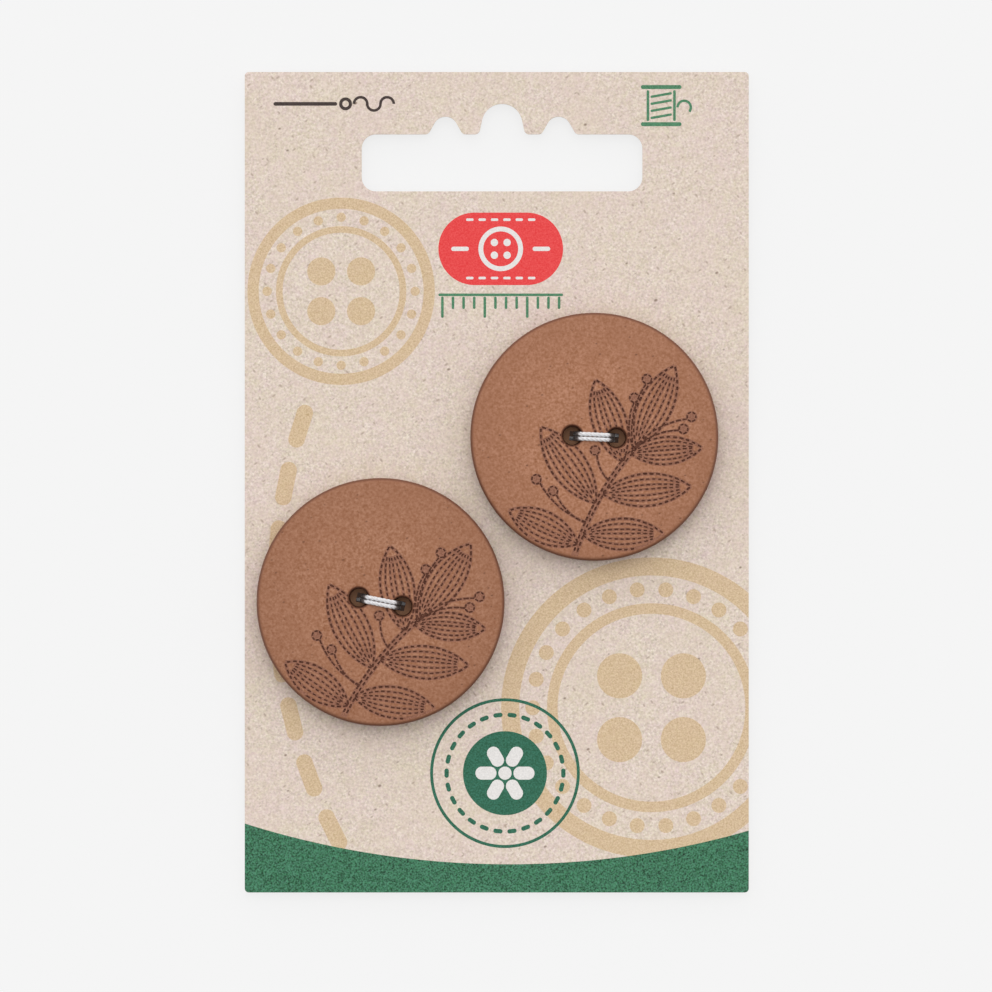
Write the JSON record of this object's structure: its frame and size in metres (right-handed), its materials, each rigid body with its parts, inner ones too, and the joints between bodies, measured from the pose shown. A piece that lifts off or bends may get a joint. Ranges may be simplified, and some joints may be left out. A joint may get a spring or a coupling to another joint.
{
  "type": "card of buttons",
  "caption": "Flat retail card with a lobed hang slot, carrying engraved sew-through buttons that are tied on with thread.",
  "frame": {"origin": "under the middle of the card, level with the underside of the thread knots that it rests on", "axes": "+X to the card's right seen from the printed face, +Y towards the hang slot, +Z out of the printed face"},
  "size_m": [0.057, 0.0928, 0.0052],
  "materials": {
    "kraft_board": "matte recycled board with fine fibres and specks",
    "button_composite": "matte moulded plant-fibre composite, laser-engraved",
    "tie_thread": "white twisted polyester thread"
  },
  "bodies": {
    "root": {"card": "kraft_board", "button_upper": "button_composite", "button_lower": "button_composite", "tie_thread_upper": "tie_thread", "tie_thread_lower": "tie_thread"}
  },
  "joints": []
}
